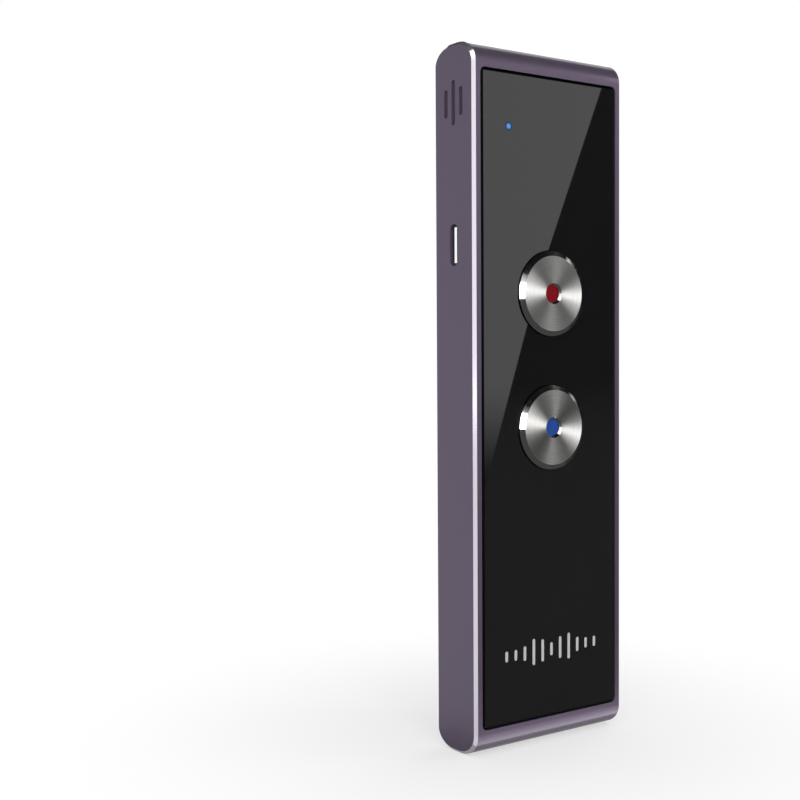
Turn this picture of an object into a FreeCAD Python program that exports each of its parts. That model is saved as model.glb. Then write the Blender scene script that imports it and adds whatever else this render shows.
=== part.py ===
import FreeCAD, Part
import math
import os
import re
from types import SimpleNamespace

# Handheld translator: a slim bar with an anodised housing, a black front panel with two push
# buttons, a status light, side keys, a charging port and a loudspeaker grille at the back.
# X runs to the right of someone who faces the front, Y runs from front to back and Z runs up to
# the loudspeaker end. The origin is the centre of the flat back face. Heights here are measured
# from the back face towards the front, so a height is minus Y.

Vector = FreeCAD.Vector
Rotation = FreeCAD.Rotation
QUARTER = math.pi / 2
doc = FreeCAD.newDocument("HandheldTranslator")

# Driving dimensions in millimetres
SIZES = {
    # outer bar
    "bar_length": 142.0, "bar_width": 40.0, "bar_depth": 12.8,
    "front_round_depth": 5.6, "front_round_length": 4.6,
    "back_round_depth": 5.2, "back_round_length": 4.0, "edge_bevel": 0.6,
    # front opening and the layers under it
    "opening_width": 36.5, "opening_length": 131.0, "opening_corner": 1.2, "back_wall": 1.2,
    "fit_gap": 0.1, "panel_thick": 1.4, "panel_bevel": 0.45, "glue_thick": 0.2,
    "frame_thick": 1.4, "board_thick": 0.8, "board_space": 1.2,
    # loudspeaker grille
    "grille_pitch": 2.76, "grille_hole": 1.15, "grille_z": 48.9, "dimple_depth": 0.35,
    # three sound slots on each side
    "slot_width": 1.15, "slot_long": 8.9, "slot_short": 5.6, "slot_step": 2.4, "slot_z": 59.2,
    # side keys
    "key_width": 4.7, "key_gap": 0.12, "key_proud": 0.5, "key_round": 0.35, "key_height": 6.4,
    "flange_lip": 0.6, "flange_thick": 0.55, "flange_inside": 17.3,
    "power_length": 9.3, "power_z": 31.75, "volume_length": 25.7, "volume_z": 9.25,
    "volume_nub": 9.0, "nub_radius": 1.2, "nub_length": 0.55,
    # charging port
    "port_width": 8.3, "port_depth": 2.7, "port_z": 31.1, "port_wall": 0.2, "port_run": 8.0,
    "tongue_width": 7.1, "tongue_thick": 0.8, "tongue_run": 7.6,
    # front buttons
    "upper_z": 21.6, "lower_z": -5.7, "cap_radius": 8.65, "cap_bevel": 1.0,
    "cap_bevel_height": 0.6, "cap_proud": 0.92, "cap_thick": 2.22, "cap_clearance": 0.2,
    "window_radius": 1.72, "window_sunk": 0.6, "mouth_depth": 0.4, "holder_radius": 9.5,
    "holder_thick": 0.7,
    "switch_drop": 5.5, "plunger_radius": 0.9,
    # status light
    "led_x": -11.1, "led_z": 54.5, "led_radius": 0.9,
    # main board and battery
    "board_left": -15.2, "board_right": 13.5, "board_low": -17.0, "board_high": 57.8,
    "battery_width": 24.8, "battery_length": 60.0, "battery_thick": 4.4, "tape_thick": 0.3,
    # loudspeaker
    "speaker_width": 30.0, "speaker_length": 20.0, "speaker_low": 1.85, "speaker_thick": 2.75,
    "magnet_radius": 7.0, "magnet_thick": 2.6,
    # fixings
    "boss_radius": 2.0, "screw_radius": 0.75, "head_radius": 1.6, "post_radius": 1.1,
}

sheet = doc.addObject("Spreadsheet::Sheet", "Sizes")
for row, (alias, value) in enumerate(SIZES.items(), start=1):
    sheet.set("A%d" % row, alias)
    sheet.set("B%d" % row, str(value))
    sheet.setAlias("B%d" % row, alias)
doc.recompute()
dim = SimpleNamespace(**{alias: float(sheet.get(alias)) for alias in SIZES})

# Heights of the layers above the back face, worked out from the sheet
panel_back = dim.bar_depth - dim.panel_thick
glue_back = panel_back - dim.glue_thick
frame_back = glue_back - dim.frame_thick
board_front = frame_back - dim.board_space
board_back = board_front - dim.board_thick
cap_face = dim.bar_depth + dim.cap_proud
cap_back = cap_face - dim.cap_thick
side_inner = dim.opening_width / 2
button_rows = {"upper": "upper_z", "lower": "lower_z"}
finished = []


def linked(text):
    """Turn plain names in a formula into references to the sheet's cells."""
    return re.sub(r"[a-z][a-z_]+", lambda name: "Sizes." + name.group(0), str(text))


def bind(thing, **formulas):
    """Bind properties to formulas over the sheet; a double underscore stands for a dot."""
    for name, formula in formulas.items():
        thing.setExpression(name.replace("__", "."), linked(formula))
    return thing


def finish(thing, label):
    """Name a sub-part and note it for export."""
    thing.Label = label
    finished.append(thing)
    return thing


def block(name, x, width, height, thick, z, length):
    """A box from x, height and z upwards; every argument is a formula over the sheet."""
    box = doc.addObject("Part::Box", name)
    bind(box, Length=width, Width=thick, Height=length, Placement__Base__x=x,
         Placement__Base__y="-(%s) - (%s)" % (height, thick), Placement__Base__z=z)
    return box


def centred(name, x, width, height, thick, z, length):
    """A box whose x and z are its middle."""
    return block(name, "%s - (%s) / 2" % (x, width), width, height, thick,
                 "%s - (%s) / 2" % (z, length), length)


def drum(name, radius, x, height, thick, z):
    """A cylinder that stands on a height and points to the front."""
    cylinder = doc.addObject("Part::Cylinder", name)
    cylinder.Placement.Rotation = Rotation(Vector(1, 0, 0), 90)
    bind(cylinder, Radius=radius, Height=thick, Placement__Base__x=x,
         Placement__Base__y="-(%s)" % height, Placement__Base__z=z)
    return cylinder


def side_drum(name, radius, x, run, height, z):
    """A cylinder along X."""
    cylinder = doc.addObject("Part::Cylinder", name)
    cylinder.Placement.Rotation = Rotation(Vector(0, 1, 0), 90)
    bind(cylinder, Radius=radius, Height=run, Placement__Base__x=x,
         Placement__Base__y="-(%s)" % height, Placement__Base__z=z)
    return cylinder


def joined(name, things):
    """One solid from touching or overlapping solids."""
    fused = doc.addObject("Part::MultiFuse", name)
    fused.Shapes = things
    fused.Refine = True
    return fused


def group(name, things):
    """Separate solids that share one node."""
    compound = doc.addObject("Part::Compound", name)
    compound.Links = things
    return compound


def cut(name, base, tools):
    """A solid less its tools."""
    tool = tools[0] if len(tools) == 1 else group(name + "_tools", tools)
    rest = doc.addObject("Part::Cut", name)
    rest.Base = base
    rest.Tool = tool
    return rest


def pill(name, x, run, height, width, z, length):
    """A bar along X with a round-ended section that is longer along Z."""
    radius = "(%s) / 2" % width
    middle = centred(name + "_middle", "%s + (%s) / 2" % (x, run), run,
                     "%s - %s" % (height, radius), width, z, "(%s) - (%s)" % (length, width))
    ends = [side_drum(name + "_end", radius, x, run, height,
                      "%s + (%s) * ((%s) - (%s)) / 2" % (z, sign, length, width))
            for sign in (-1, 1)]
    return joined(name, [middle] + ends)


def new_body(label):
    """An empty body for a piece made from sketches."""
    return doc.addObject("PartDesign::Body", label)


def sketch_on(body, role, offset):
    """A sketch parallel to one of the body's own origin planes."""
    sketch = body.newObject("Sketcher::SketchObject", body.Name + "_sketch")
    plane = next(item for item in body.Origin.OriginFeatures if item.Role == role)
    sketch.AttachmentSupport = [(plane, "")]
    sketch.MapMode = "FlatFace"
    bind(sketch, AttachmentOffset__Base__z=offset)
    return sketch


def rounded_outline(sketch, x, z, width, length, radius):
    """A rectangle with round corners in a sketch."""
    left, right = x - width / 2, x + width / 2
    low, high = z - length / 2, z + length / 2
    corners = ((right - radius, high - radius, 0), (left + radius, high - radius, 1),
               (left + radius, low + radius, 2), (right - radius, low + radius, 3))
    for cx, cz, turn in corners:
        circle = Part.Circle(Vector(cx, cz, 0), Vector(0, 0, 1), radius)
        sketch.addGeometry(Part.ArcOfCircle(circle, turn * QUARTER, (turn + 1) * QUARTER))
    sides = (((right, low + radius), (right, high - radius)),
             ((right - radius, high), (left + radius, high)),
             ((left, high - radius), (left, low + radius)),
             ((left + radius, low), (right - radius, low)))
    for start, end in sides:
        sketch.addGeometry(Part.LineSegment(Vector(*start, 0), Vector(*end, 0)))


def round_hole(sketch, x, z, radius):
    """A circle in a sketch."""
    sketch.addGeometry(Part.Circle(Vector(x, z, 0), Vector(0, 0, 1), radius))


def slot_hole(sketch, across, along, width, length):
    """A round-ended slot in a sketch, longer along the sketch's second direction."""
    radius = width / 2
    half = length / 2 - radius
    for sign, start in ((1, 0), (-1, math.pi)):
        circle = Part.Circle(Vector(across, along + sign * half, 0), Vector(0, 0, 1), radius)
        sketch.addGeometry(Part.ArcOfCircle(circle, start, start + math.pi))
        edge = across + sign * radius
        sketch.addGeometry(Part.LineSegment(Vector(edge, along - half, 0),
                                            Vector(edge, along + half, 0)))


def pad(body, sketch, length, midplane=False):
    """Raise a sketch towards the front, or both ways."""
    feature = body.newObject("PartDesign::Pad", body.Name + "_pad")
    feature.Profile = sketch
    feature.Midplane = midplane
    bind(feature, Length=length)
    doc.recompute()
    return feature


def pocket(body, sketch, depth, reverse=False):
    """Cut a sketch into the body, and stop if nothing was cut."""
    before = body.Shape.Volume
    feature = body.newObject("PartDesign::Pocket", body.Name + "_pocket")
    feature.Profile = sketch
    feature.Reversed = reverse
    bind(feature, Length=depth)
    doc.recompute()
    if body.Shape.Volume > before - 1e-6:
        raise RuntimeError("a pocket of %s cuts nothing" % body.Name)
    return feature


def bevel(body, base, picked, width):
    """Bevel the edges of the last feature that a test picks."""
    edges = ["Edge%d" % (index + 1) for index, edge in enumerate(base.Shape.Edges)
             if picked(edge)]
    feature = body.newObject("PartDesign::Chamfer", body.Name + "_bevel")
    feature.Base = (base, edges)
    bind(feature, Size=width)
    doc.recompute()
    return feature


# Housing: one anodised aluminium shell with polished edge bevels
housing = new_body("housing_shell")
profile = sketch_on(housing, "YZ_Plane", "0")
half_length = dim.bar_length / 2
for end in (1, -1):
    for face, depth, reach in ((0, dim.back_round_depth, dim.back_round_length),
                               (-dim.bar_depth, dim.front_round_depth, dim.front_round_length)):
        inward = -1 if face == 0 else 1
        centre = Vector(face + inward * depth, end * (half_length - reach), 0)
        first = {(-1, 1): 0, (1, 1): 1, (1, -1): 2, (-1, -1): 3}[(inward, end)]
        ellipse = Part.Ellipse(centre, depth, reach)
        profile.addGeometry(Part.ArcOfEllipse(ellipse, first * QUARTER,
                                              (first + 1) * QUARTER))
    profile.addGeometry(Part.LineSegment(
        Vector(-dim.back_round_depth, end * half_length, 0),
        Vector(-dim.bar_depth + dim.front_round_depth, end * half_length, 0)))
for face, reach in ((0, dim.back_round_length), (-dim.bar_depth, dim.front_round_length)):
    profile.addGeometry(Part.LineSegment(Vector(face, reach - half_length, 0),
                                         Vector(face, half_length - reach, 0)))
bar = pad(housing, profile, "bar_width", midplane=True)


def on_side_face(edge):
    """True for the edges that outline a side face."""
    limits = edge.BoundBox
    return min(abs(limits.XMin), abs(limits.XMax)) > dim.bar_width / 2 - 1e-4


bevel(housing, bar, on_side_face, "edge_bevel")
opening = sketch_on(housing, "XZ_Plane", "bar_depth")
rounded_outline(opening, 0, 0, dim.opening_width, dim.opening_length, dim.opening_corner)
pocket(housing, opening, "bar_depth - back_wall")

# Grille: a field of holes in twelve columns and ten rows, open in the middle eight by six
grille_columns = 12
grille_rows = 10
open_columns = range(2, 10)
open_rows = range(2, 8)
through = sketch_on(housing, "XZ_Plane", "0")
dimples = sketch_on(housing, "XZ_Plane", "0")
for column in range(grille_columns):
    for line in range(grille_rows):
        hole_x = (column - (grille_columns - 1) / 2) * dim.grille_pitch
        hole_z = dim.grille_z + (line - (grille_rows - 1) / 2) * dim.grille_pitch
        open_hole = column in open_columns and line in open_rows
        round_hole(through if open_hole else dimples, hole_x, hole_z, dim.grille_hole / 2)
pocket(housing, through, "back_wall + fit_gap", reverse=True)
pocket(housing, dimples, "dimple_depth", reverse=True)


def sound_slots(sketch):
    """Three upright slots, the middle one longer."""
    for step in (-1, 0, 1):
        length = dim.slot_short if step else dim.slot_long
        slot_hole(sketch, -dim.key_height + step * dim.slot_step, dim.slot_z,
                  dim.slot_width, length)


key_hole_width = dim.key_width + 2 * dim.key_gap
right_side = sketch_on(housing, "YZ_Plane", "bar_width / 2")
sound_slots(right_side)
slot_hole(right_side, -dim.key_height, dim.power_z, key_hole_width,
          dim.power_length + 2 * dim.key_gap)
slot_hole(right_side, -dim.key_height, dim.volume_z, key_hole_width,
          dim.volume_length + 2 * dim.key_gap)
pocket(housing, right_side, "(bar_width - opening_width) / 2 + fit_gap")
left_side = sketch_on(housing, "YZ_Plane", "-bar_width / 2")
sound_slots(left_side)
slot_hole(left_side, -dim.key_height, dim.port_z, dim.port_depth, dim.port_width)
pocket(housing, left_side, "(bar_width - opening_width) / 2 + fit_gap", reverse=True)

# Bosses for the frame screws and posts for the main board stand on the back wall
SCREW_PLACES = ((-12.5, 62.5), (12.5, 62.5), (-15.8, -20.0), (15.8, -20.0),
                (-15.5, -62.0), (15.5, -62.0))
POST_PLACES = ((-14.0, -12.0), (-14.0, 22.0), (12.2, 12.0), (12.2, 35.0))
screw_length = 4.6
stand_parts = [housing]
for x, z in SCREW_PLACES:
    boss = drum("boss", "boss_radius", x, "back_wall", frame_back - dim.back_wall, z)
    bore = drum("boss_bore", "screw_radius + fit_gap / 2", x,
                frame_back - screw_length - dim.fit_gap, screw_length + dim.fit_gap, z)
    stand_parts.append(cut("bored_boss", boss, [bore]))
for x, z in POST_PLACES:
    stand_parts.append(drum("board_post", "post_radius", x, "back_wall",
                            board_back - dim.back_wall, z))
finish(joined("housing", stand_parts), "housing")

# Front panel: black gloss plate with two button holes and the light's hole
panel = new_body("front_panel")
panel_sketch = sketch_on(panel, "XZ_Plane", "bar_depth - panel_thick")
rounded_outline(panel_sketch, 0, 0, dim.opening_width - 2 * dim.fit_gap,
                dim.opening_length - 2 * dim.fit_gap, dim.opening_corner - dim.fit_gap)
for row_name in button_rows.values():
    round_hole(panel_sketch, 0, getattr(dim, row_name), dim.cap_radius + dim.cap_clearance)
round_hole(panel_sketch, dim.led_x, dim.led_z, dim.led_radius)
panel_plate = pad(panel, panel_sketch, "panel_thick")


def on_panel_rim(edge):
    """True for the outer edges of the panel's front."""
    limits = edge.BoundBox
    outside = (max(abs(limits.XMin), abs(limits.XMax)) > side_inner - 2
               or max(abs(limits.ZMin), abs(limits.ZMax)) > dim.opening_length / 2 - 2)
    return limits.YMax < -dim.bar_depth + 1e-4 and outside


bevel(panel, panel_plate, on_panel_rim, "panel_bevel")
finish(panel, "front_panel")

# Panel adhesive: a tape frame round the edge, wide round the buttons
glue_border = 4.0
frame_hole = dim.holder_radius + 0.5
glue = new_body("panel_adhesive")
glue_sketch = sketch_on(glue, "XZ_Plane", "bar_depth - panel_thick - glue_thick")
rounded_outline(glue_sketch, 0, 0, dim.opening_width - 4 * dim.fit_gap,
                dim.opening_length - 4 * dim.fit_gap, dim.opening_corner)
for row_name in button_rows.values():
    round_hole(glue_sketch, 0, getattr(dim, row_name), frame_hole)
round_hole(glue_sketch, dim.led_x, dim.led_z, 2 * dim.led_radius)
window_low = -dim.opening_length / 2 + glue_border
window_high = dim.lower_z - frame_hole - glue_border
rounded_outline(glue_sketch, 0, (window_low + window_high) / 2,
                dim.opening_width - 2 * glue_border, window_high - window_low,
                dim.opening_corner)
pad(glue, glue_sketch, "glue_thick")
finish(glue, "panel_adhesive")

# Antenna: a thin patch between panel and frame, inside the adhesive's window
antenna_width = 18.0
antenna_length = 24.0
antenna_z = -46.0
antenna_thick = 0.15
finish(centred("antenna", 0, antenna_width, glue_back, antenna_thick, antenna_z,
               antenna_length), "antenna")

# Mid frame: moulded plate that clamps the board and the battery, screwed to the bosses
frame = new_body("mid_frame_plate")
frame_sketch = sketch_on(frame, "XZ_Plane",
                         "bar_depth - panel_thick - glue_thick - frame_thick")
rounded_outline(frame_sketch, 0, 0, dim.opening_width - 4 * dim.fit_gap,
                dim.opening_length - 4 * dim.fit_gap, dim.opening_corner)
for row_name in button_rows.values():
    round_hole(frame_sketch, 0, getattr(dim, row_name), frame_hole)
round_hole(frame_sketch, dim.led_x, dim.led_z, dim.led_radius + dim.fit_gap)
for x, z in SCREW_PLACES:
    round_hole(frame_sketch, x, z, dim.screw_radius + dim.fit_gap)
pad(frame, frame_sketch, "frame_thick")
head_seat = sketch_on(frame, "XZ_Plane", "bar_depth - panel_thick - glue_thick")
head_depth = 0.6
for x, z in SCREW_PLACES:
    round_hole(head_seat, x, z, dim.head_radius + dim.fit_gap)
pocket(frame, head_seat, head_depth)
rib_thick = 1.0
rib_x = 11.0
rib_low = -58.0
rib_length = 36.0
battery_front = dim.back_wall + dim.tape_thick + dim.battery_thick
ribs = [centred("battery_rib", side * rib_x, rib_thick, battery_front, frame_back - battery_front,
                rib_low + rib_length / 2, rib_length) for side in (-1, 1)]
clamps = [drum("board_clamp", "post_radius", x, board_front, frame_back - board_front, z)
          for x, z in POST_PLACES]
finish(joined("mid_frame", [frame] + ribs + clamps), "mid_frame")

# Frame screws: six alike, with a cross recess in each head
head_thick = 0.5
screws = []
for x, z in SCREW_PLACES:
    head_base = glue_back - head_depth
    head = drum("screw_head", "head_radius", x, head_base, head_thick, z)
    shank = drum("screw_shank", "screw_radius", x, frame_back - screw_length,
                 head_base - frame_back + screw_length, z)
    recess = [centred("screw_recess", x, long_x, head_base + 0.2, head_thick, z, long_z)
              for long_x, long_z in ((1.8, 0.35), (0.35, 1.8))]
    screws.append(cut("screw", joined("screw_blank", [head, shank]), recess))
finish(group("frame_screws", screws), "frame_screws")

# Main board with its chips, and the shield can over the chips at its back
finish(block("main_board", "board_left", "board_right - board_left", board_back, "board_thick",
             "board_low", "board_high - board_low"), "main_board")
chip_thick = 0.9
chip_height = board_back - chip_thick
# Each chip's x, z, width and length
chips = {"processor": (-4.2, 29.0, 9.0, 9.0), "memory_chip": (5.4, 29.0, 6.0, 8.0),
         "radio_module": (3.6, 17.0, 9.0, 8.0), "clock_crystal": (-6.2, 17.0, 3.2, 2.5)}
for label, (x, z, width, length) in chips.items():
    finish(centred(label, x, width, chip_height, chip_thick, z, length), label)
can_height = 6.3
can_wall = 0.2
can_width = 20.6
can_length = 25.0
can_z = 24.0
can_outer = centred("can_outer", 0, can_width, can_height, board_back - can_height, can_z,
                    can_length)
can_inner = centred("can_inner", 0, can_width - 2 * can_wall, can_height + can_wall,
                    board_back - can_height, can_z, can_length - 2 * can_wall)
finish(cut("shield_can", can_outer, [can_inner]), "shield_can")
part_step = 2.1
part_width = 1.0
part_length = 1.6
part_thick = 0.5
left_part_x = -13.2
right_part_x = 3.5
low_part_z = 40.5
high_part_z = 44.0
part_spots = [(left_part_x + part_step * column, z)
              for z in (low_part_z, high_part_z) for column in range(5)]
part_spots += [(right_part_x + part_step * column, low_part_z) for column in range(4)]
finish(group("board_parts", [centred("board_part", x, part_width, board_front, part_thick, z,
                                     part_length) for x, z in part_spots]), "board_parts")

# Battery cell on its tape, with plug and two leads to the main board
battery_height = dim.back_wall + dim.tape_thick
battery_z = -dim.battery_length / 2
tape_width = 20.0
tape_length = 50.0
finish(centred("battery_tape", 0, tape_width, "back_wall", "tape_thick", battery_z,
               tape_length), "battery_tape")
cell = doc.addObject("Part::Fillet", "battery_cell")
cell.Base = centred("cell_block", 0, "battery_width", battery_height, "battery_thick",
                    battery_z, "battery_length")
doc.recompute()
cell_round = 1.2
cell.Edges = [(index + 1, cell_round, cell_round)
              for index, edge in enumerate(cell.Base.Shape.Edges)
              if edge.BoundBox.ZLength > dim.battery_length - 1]
finish(cell, "battery_cell")
plug_low = 5.8
plug_x = -3.2
plug_z = 5.0
plug_width = 5.6
plug_length = 4.0
finish(centred("battery_plug", plug_x, plug_width, plug_low, board_back - plug_low, plug_z,
               plug_length), "battery_plug")
lead_radius = 0.45
lead_bend = 1.2
lead_height = 4.0
lead_spread = 0.9
leads = []
for side in (-1, 1):
    lead_x = plug_x + side * lead_spread
    start = Vector(lead_x, -lead_height, 0)
    bend_start = Vector(lead_x, -lead_height, plug_z - lead_bend)
    bend_end = Vector(lead_x, -lead_height - lead_bend, plug_z)
    tip = Vector(lead_x, -plug_low, plug_z)
    reach = lead_bend * (1 - 0.5 ** 0.5)
    bend_middle = Vector(lead_x, -lead_height - reach, plug_z - reach)
    path = Part.Wire([Part.LineSegment(start, bend_start).toShape(),
                      Part.Arc(bend_start, bend_middle, bend_end).toShape(),
                      Part.LineSegment(bend_end, tip).toShape()])
    ring = Part.Wire([Part.Circle(start, Vector(0, 0, 1), lead_radius).toShape()])
    leads.append(path.makePipeShell([ring], True, False))
lead_feature = doc.addObject("Part::Feature", "battery_leads")
lead_feature.Shape = Part.Compound(leads)
lead_feature.Placement = FreeCAD.Placement()
finish(lead_feature, "battery_leads")

# Loudspeaker: dust mesh and foam ring on the back wall, frame, cone and magnet
mesh_thick = 0.15
mesh_width = 25.0
mesh_length = 19.0
finish(centred("grille_mesh", 0, mesh_width, "back_wall", mesh_thick, "grille_z", mesh_length),
       "grille_mesh")
gasket_thick = 0.5
cone_width = 26.0
cone_length = 16.0
gasket_base = centred("gasket_outer", 0, "speaker_width", "back_wall + %s" % mesh_thick,
                      gasket_thick, "grille_z", "speaker_length")
gasket_hole = centred("gasket_hole", 0, cone_width, "back_wall", 4 * gasket_thick, "grille_z",
                      cone_length)
mesh_room = centred("mesh_room", 0, "%s + 2 * fit_gap" % mesh_width, "back_wall",
                    "%s + fit_gap" % mesh_thick, "grille_z", "%s + 2 * fit_gap" % mesh_length)
finish(cut("speaker_gasket", gasket_base, [gasket_hole, mesh_room]), "speaker_gasket")
speaker_top = dim.speaker_low + dim.speaker_thick
back_plate = 0.6
basket_play = 0.4
basket_reach = 0.5
basket = centred("basket", 0, "speaker_width", "speaker_low", "speaker_thick", "grille_z",
                 "speaker_length")
basket_room = centred("basket_room", 0, cone_width + basket_play,
                      "speaker_low - %s" % basket_reach,
                      dim.speaker_thick - back_plate + basket_reach, "grille_z",
                      cone_length + basket_play)
magnet_room = drum("magnet_room", "magnet_radius", 0, "speaker_low", "2 * speaker_thick",
                   "grille_z")
finish(cut("speaker_frame", basket, [basket_room, magnet_room]), "speaker_frame")
cone_low = 2.1
cone_thick = 0.25
dome_foot_radius = 6.6
dome_top_radius = 5.0
dome_height = 0.8
cone_sheet = centred("cone_sheet", 0, cone_width, cone_low, cone_thick, "grille_z", cone_length)
dome = doc.addObject("Part::Cone", "cone_dome")
dome.Placement.Rotation = Rotation(Vector(1, 0, 0), 90)
bind(dome, Radius1=dome_foot_radius, Radius2=dome_top_radius, Height=dome_height,
     Placement__Base__y=-cone_low - cone_thick, Placement__Base__z="grille_z")
finish(joined("speaker_cone", [cone_sheet, dome]), "speaker_cone")
magnet_low = 3.4
finish(drum("speaker_magnet", "magnet_radius", 0, magnet_low, "magnet_thick", "grille_z"),
       "speaker_magnet")
contact_radius = 0.6
contact_x = 11.0
contact_z = 55.5
finish(group("speaker_contacts", [drum("contact_pin", contact_radius, side * contact_x,
                                       speaker_top, board_back - speaker_top, contact_z)
                                  for side in (-1, 1)]), "speaker_contacts")

# Microphones in rubber boots behind the side slots, one on each side
boot_inside = 15.6
boot_outside = side_inner - dim.fit_gap / 2
boot_low = 2.9
boot_rise = 6.8
boot_length = 9.4
boot_wall = 0.4
channel_depth = 0.8
capsule_radius = 2.25
capsule_run = 1.5
capsule_middle = 16.4
boots = []
capsules = []
for side in (-1, 1):
    outer = centred("boot", side * (boot_inside + boot_outside) / 2, boot_outside - boot_inside,
                    boot_low, boot_rise, "slot_z", boot_length)
    channel = centred("boot_channel", side * boot_outside, 2 * channel_depth,
                      boot_low + boot_wall, boot_rise - 2 * boot_wall, "slot_z",
                      boot_length - 2 * boot_wall)
    seat_run = 2 * (boot_outside - boot_inside)
    seat = side_drum("boot_seat", capsule_radius, side * capsule_middle - seat_run / 2, seat_run,
                     "key_height", "slot_z")
    boots.append(cut("microphone_boot", outer, [channel, seat]))
    capsules.append(side_drum("microphone", capsule_radius,
                              side * capsule_middle - capsule_run / 2, capsule_run, "key_height", "slot_z"))
finish(group("microphone_boots", boots), "microphone_boots")
finish(group("microphones", capsules), "microphones")

# Charging port: metal shell with a contact tongue, on the board behind the left side's slot
shell_x = -19.5
shell_gap = 0.1
hollow_reach = 0.6
shell = pill("port_tube", shell_x, "port_run", "key_height",
             "port_depth - 2 * %s" % shell_gap, "port_z", "port_width - 2 * %s" % shell_gap)
shell_hollow = pill("port_hollow", shell_x - 1, "port_run + %s" % hollow_reach, "key_height",
                    "port_depth - 2 * %s - 2 * port_wall" % shell_gap, "port_z",
                    "port_width - 2 * %s - 2 * port_wall" % shell_gap)
foot_x = -13.6
foot_width = 1.6
foot_length = 1.4
foot_step = 2.6
foot_rise = 1.1
shell_feet = [centred("port_foot", foot_x, foot_width, "key_height + %s" % foot_rise,
                      board_back - dim.key_height - foot_rise,
                      "port_z + %s" % (side * foot_step), foot_length) for side in (-1, 1)]
finish(joined("port_shell", [cut("port_sleeve", shell, [shell_hollow])] + shell_feet),
       "port_shell")
tongue_back = -11.9
finish(centred("port_tongue", "%s - tongue_run / 2" % tongue_back, "tongue_run",
               "key_height - tongue_thick / 2", "tongue_thick", "port_z", "tongue_width"),
       "port_tongue")

# Status light on the board and the clear guide that carries it to the panel's face
light_thick = 0.6
light_width = 1.6
light_length = 1.0
finish(centred("status_light", "led_x", light_width, board_front, light_thick, "led_z",
               light_length), "status_light")
guide_low = board_front + light_thick + dim.fit_gap
collar_radius = 1.5
guide_clearance = 0.02
finish(joined("light_guide", [
    drum("guide_rod", dim.led_radius - guide_clearance, "led_x", guide_low,
         dim.bar_depth - guide_low, "led_z"),
    drum("guide_collar", collar_radius, "led_x", guide_low,
         frame_back - guide_low - dim.fit_gap / 2, "led_z")]),
    "light_guide")

# Two front buttons: metal cap, moulded holder, clear window and the switch plunger they press
switch_thick = 1.0
switch_width = 4.5
well_clearance = 0.15
plunger_top = 9.95
plunger_length = 0.85
post_radius = 1.5
window_play = 0.05
mouth_margin = 0.2
flange_drop = 0.15
boss_inset = 0.65
collar_thick = 0.5
window_collar_radius = 2.7
button_light_width = 1.6
switches = []
lights = []
for place, row_name in button_rows.items():
    post_z = "%s - switch_drop" % row_name
    wall = drum("cap_wall", "cap_radius", 0, cap_back,
                dim.cap_thick - dim.cap_bevel_height, row_name)
    rim = doc.addObject("Part::Cone", "cap_rim")
    rim.Placement.Rotation = Rotation(Vector(1, 0, 0), 90)
    bind(rim, Radius1="cap_radius", Radius2="cap_radius - cap_bevel", Height="cap_bevel_height",
         Placement__Base__y="-bar_depth - cap_proud + cap_bevel_height",
         Placement__Base__z=row_name)
    bore_radius = "window_radius + %s" % window_play
    cap_bore = drum("cap_bore", bore_radius, 0, cap_back - 1, "cap_thick + 2", row_name)
    mouth = doc.addObject("Part::Cone", "cap_mouth")
    mouth.Placement.Rotation = Rotation(Vector(1, 0, 0), 90)
    bind(mouth, Radius1=bore_radius,
         Radius2="%s + mouth_depth + %s" % (bore_radius, mouth_margin),
         Height="mouth_depth + %s" % mouth_margin,
         Placement__Base__y="-bar_depth - cap_proud + mouth_depth",
         Placement__Base__z=row_name)
    finish(cut("button_cap_" + place, joined("cap_solid", [wall, rim]), [cap_bore, mouth]),
           "button_cap_" + place)
    holder_back = panel_back - flange_drop - dim.holder_thick
    holder_bore = drum("holder_bore", bore_radius, 0, holder_back - 1,
                       cap_face - holder_back, row_name)
    holder = cut("holder_disc", joined("holder_solid", [
        drum("holder_flange", "holder_radius", 0, holder_back, "holder_thick", row_name),
        drum("holder_boss", "cap_radius - %s" % boss_inset, 0, holder_back,
             cap_back - holder_back, row_name)]), [holder_bore])
    finish(joined("button_holder_" + place, [
        holder, drum("holder_post", post_radius, 0, plunger_top, holder_back - plunger_top,
                     post_z)]), "button_holder_" + place)
    window_back = holder_back - collar_thick
    finish(joined("button_window_" + place, [
        drum("window_rod", "window_radius", 0, window_back,
             cap_face - dim.window_sunk - window_back, row_name),
        drum("window_collar", window_collar_radius, 0, window_back, collar_thick,
             row_name)]), "button_window_" + place)
    finish(drum("button_plunger_" + place, "plunger_radius", 0, plunger_top - plunger_length,
                plunger_length, post_z), "button_plunger_" + place)
    switch_box = centred("switch_box", 0, switch_width, board_front, switch_thick, post_z,
                         switch_width)
    switch_well = drum("switch_well", "plunger_radius + %s" % well_clearance, 0,
                       board_front + dim.fit_gap, switch_thick, post_z)
    switches.append(cut("button_switch", switch_box, [switch_well]))
    lights.append(centred("button_light", 0, button_light_width, board_front, light_thick,
                          row_name, button_light_width))
finish(group("button_switches", switches), "button_switches")
finish(group("button_lights", lights), "button_lights")

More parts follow.
